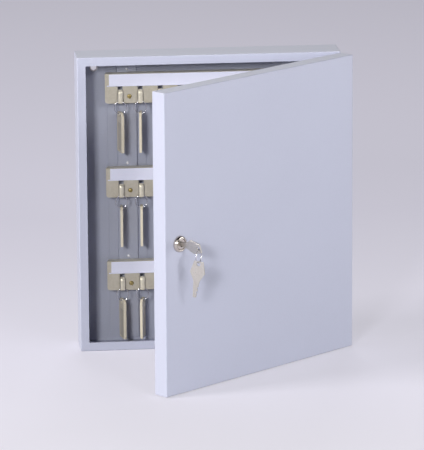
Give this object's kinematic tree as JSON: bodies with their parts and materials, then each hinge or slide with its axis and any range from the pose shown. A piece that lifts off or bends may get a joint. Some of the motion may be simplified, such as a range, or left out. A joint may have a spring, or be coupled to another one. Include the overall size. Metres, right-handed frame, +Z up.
{
  "type": "key cabinet",
  "caption": "Shallow rectangular wall cabinet of folded sheet steel with a hinged door, a cam lock and rows of hooks for keys.",
  "frame": {"origin": "the middle of the case's underside", "axes": "+Z up, +X to the right as the door is faced, +Y back to the wall"},
  "size_m": [0.3636, 0.311, 0.4],
  "materials": {
    "paint": "light grey powder coat, satin",
    "zinc_steel": "zinc plated, satin",
    "pale_plastic": "pale moulded plastic",
    "label_white": "white label strip, semi-gloss",
    "yellow_zinc": "yellow passivated steel screws",
    "chrome": "polished plating",
    "nickel": "nickel plated brass, satin",
    "tag_plastic": "ivory moulded plastic",
    "paper": "blank white label"
  },
  "bodies": {
    "case": {"case_frame": "paint", "case_back": "paint", "fixing_grommet_left": "pale_plastic", "upright_left": "paint", "fixing_grommet_right": "pale_plastic", "upright_right": "paint", "key_bar_bottom": "zinc_steel", "label_strip_bottom": "label_white", "bar_screw_bottom_left": "yellow_zinc", "bar_spacer_bottom_left": "zinc_steel", "bar_screw_bottom_right": "yellow_zinc", "bar_spacer_bottom_right": "zinc_steel", "key_bar_middle": "zinc_steel", "label_strip_middle": "label_white", "bar_screw_middle_left": "yellow_zinc", "bar_spacer_middle_left": "zinc_steel", "bar_screw_middle_right": "yellow_zinc", "bar_spacer_middle_right": "zinc_steel", "key_bar_top": "zinc_steel", "label_strip_top": "label_white", "bar_screw_top_left": "yellow_zinc", "bar_spacer_top_left": "zinc_steel", "bar_screw_top_right": "yellow_zinc", "bar_spacer_top_right": "zinc_steel", "hinge_leaf_case_lower": "zinc_steel", "hinge_pin_lower": "zinc_steel", "hinge_leaf_case_upper": "zinc_steel", "hinge_pin_upper": "zinc_steel"},
    "door": {"door_panel": "paint", "hinge_leaf_door_lower": "zinc_steel", "hinge_leaf_door_upper": "zinc_steel", "lock_housing": "chrome", "lock_washer": "zinc_steel", "lock_nut": "zinc_steel"},
    "lock_plug": {"lock_plug": "nickel", "lock_cam": "zinc_steel", "lock_cam_screw": "zinc_steel", "key_in_lock": "nickel"},
    "key_ring": {"key_ring": "chrome"},
    "spare_key": {"spare_key": "nickel"},
    "ring_bottom_1": {"tag_ring_bottom_1": "chrome"},
    "tag_bottom_1": {"key_tag_bottom_1": "tag_plastic", "tag_label_bottom_1": "paper"},
    "ring_bottom_2": {"tag_ring_bottom_2": "chrome"},
    "tag_bottom_2": {"key_tag_bottom_2": "tag_plastic", "tag_label_bottom_2": "paper"},
    "ring_middle_1": {"tag_ring_middle_1": "chrome"},
    "tag_middle_1": {"key_tag_middle_1": "tag_plastic", "tag_label_middle_1": "paper"},
    "ring_middle_2": {"tag_ring_middle_2": "chrome"},
    "tag_middle_2": {"key_tag_middle_2": "tag_plastic", "tag_label_middle_2": "paper"},
    "ring_top_1": {"tag_ring_top_1": "chrome"},
    "tag_top_1": {"key_tag_top_1": "tag_plastic", "tag_label_top_1": "paper"},
    "ring_top_2": {"tag_ring_top_2": "chrome"},
    "tag_top_2": {"key_tag_top_2": "tag_plastic", "tag_label_top_2": "paper"}
  },
  "joints": [
    {"name": "door_hinge", "type": "hinge", "parent": "case", "child": "door", "pos_m": [0.175, -0.0256, 0.2], "axis": [0, 0, 1], "range_deg": [-39.5, 70]},
    {"name": "lock_turn", "type": "hinge", "parent": "door", "child": "lock_plug", "pos_m": [-0.06156, -0.24989, 0.2], "axis": [0.6361, -0.7716, 0], "range_deg": [-90, 0]},
    {"name": "key_ring_swing", "type": "hinge", "parent": "lock_plug", "child": "key_ring", "pos_m": [-0.03923, -0.27698, 0.19865], "axis": [-0.4305, -0.9026, 0], "range_deg": [-12, 60]},
    {"name": "spare_key_swing", "type": "hinge", "parent": "key_ring", "child": "spare_key", "pos_m": [-0.03923, -0.27698, 0.18105], "axis": [-0.4305, -0.9026, 0], "range_deg": [-12, 45]},
    {"name": "ring_swing_bottom_1", "type": "hinge", "parent": "case", "child": "ring_bottom_1", "pos_m": [-0.11595, 0.0018, 0.07804], "axis": [-1, 0, 0], "range_deg": [-2, 35]},
    {"name": "tag_swing_bottom_1", "type": "hinge", "parent": "ring_bottom_1", "child": "tag_bottom_1", "pos_m": [-0.11595, 0.0018, 0.06164], "axis": [-1, 0, 0], "range_deg": [-3, 30]},
    {"name": "ring_swing_bottom_2", "type": "hinge", "parent": "case", "child": "ring_bottom_2", "pos_m": [-0.08925, 0.0018, 0.07804], "axis": [-1, 0, 0], "range_deg": [-2, 35]},
    {"name": "tag_swing_bottom_2", "type": "hinge", "parent": "ring_bottom_2", "child": "tag_bottom_2", "pos_m": [-0.08925, 0.0018, 0.06164], "axis": [-1, 0, 0], "range_deg": [-3, 30]},
    {"name": "ring_swing_middle_1", "type": "hinge", "parent": "case", "child": "ring_middle_1", "pos_m": [-0.11595, 0.0018, 0.20604], "axis": [-1, 0, 0], "range_deg": [-2, 35]},
    {"name": "tag_swing_middle_1", "type": "hinge", "parent": "ring_middle_1", "child": "tag_middle_1", "pos_m": [-0.11595, 0.0018, 0.18964], "axis": [-1, 0, 0], "range_deg": [-3, 30]},
    {"name": "ring_swing_middle_2", "type": "hinge", "parent": "case", "child": "ring_middle_2", "pos_m": [-0.08925, 0.0018, 0.20604], "axis": [-1, 0, 0], "range_deg": [-2, 35]},
    {"name": "tag_swing_middle_2", "type": "hinge", "parent": "ring_middle_2", "child": "tag_middle_2", "pos_m": [-0.08925, 0.0018, 0.18964], "axis": [-1, 0, 0], "range_deg": [-3, 30]},
    {"name": "ring_swing_top_1", "type": "hinge", "parent": "case", "child": "ring_top_1", "pos_m": [-0.11595, 0.0018, 0.33404], "axis": [-1, 0, 0], "range_deg": [-2, 35]},
    {"name": "tag_swing_top_1", "type": "hinge", "parent": "ring_top_1", "child": "tag_top_1", "pos_m": [-0.11595, 0.0018, 0.31764], "axis": [-1, 0, 0], "range_deg": [-3, 30]},
    {"name": "ring_swing_top_2", "type": "hinge", "parent": "case", "child": "ring_top_2", "pos_m": [-0.08925, 0.0018, 0.33404], "axis": [-1, 0, 0], "range_deg": [-2, 35]},
    {"name": "tag_swing_top_2", "type": "hinge", "parent": "ring_top_2", "child": "tag_top_2", "pos_m": [-0.08925, 0.0018, 0.31764], "axis": [-1, 0, 0], "range_deg": [-3, 30]}
  ]
}
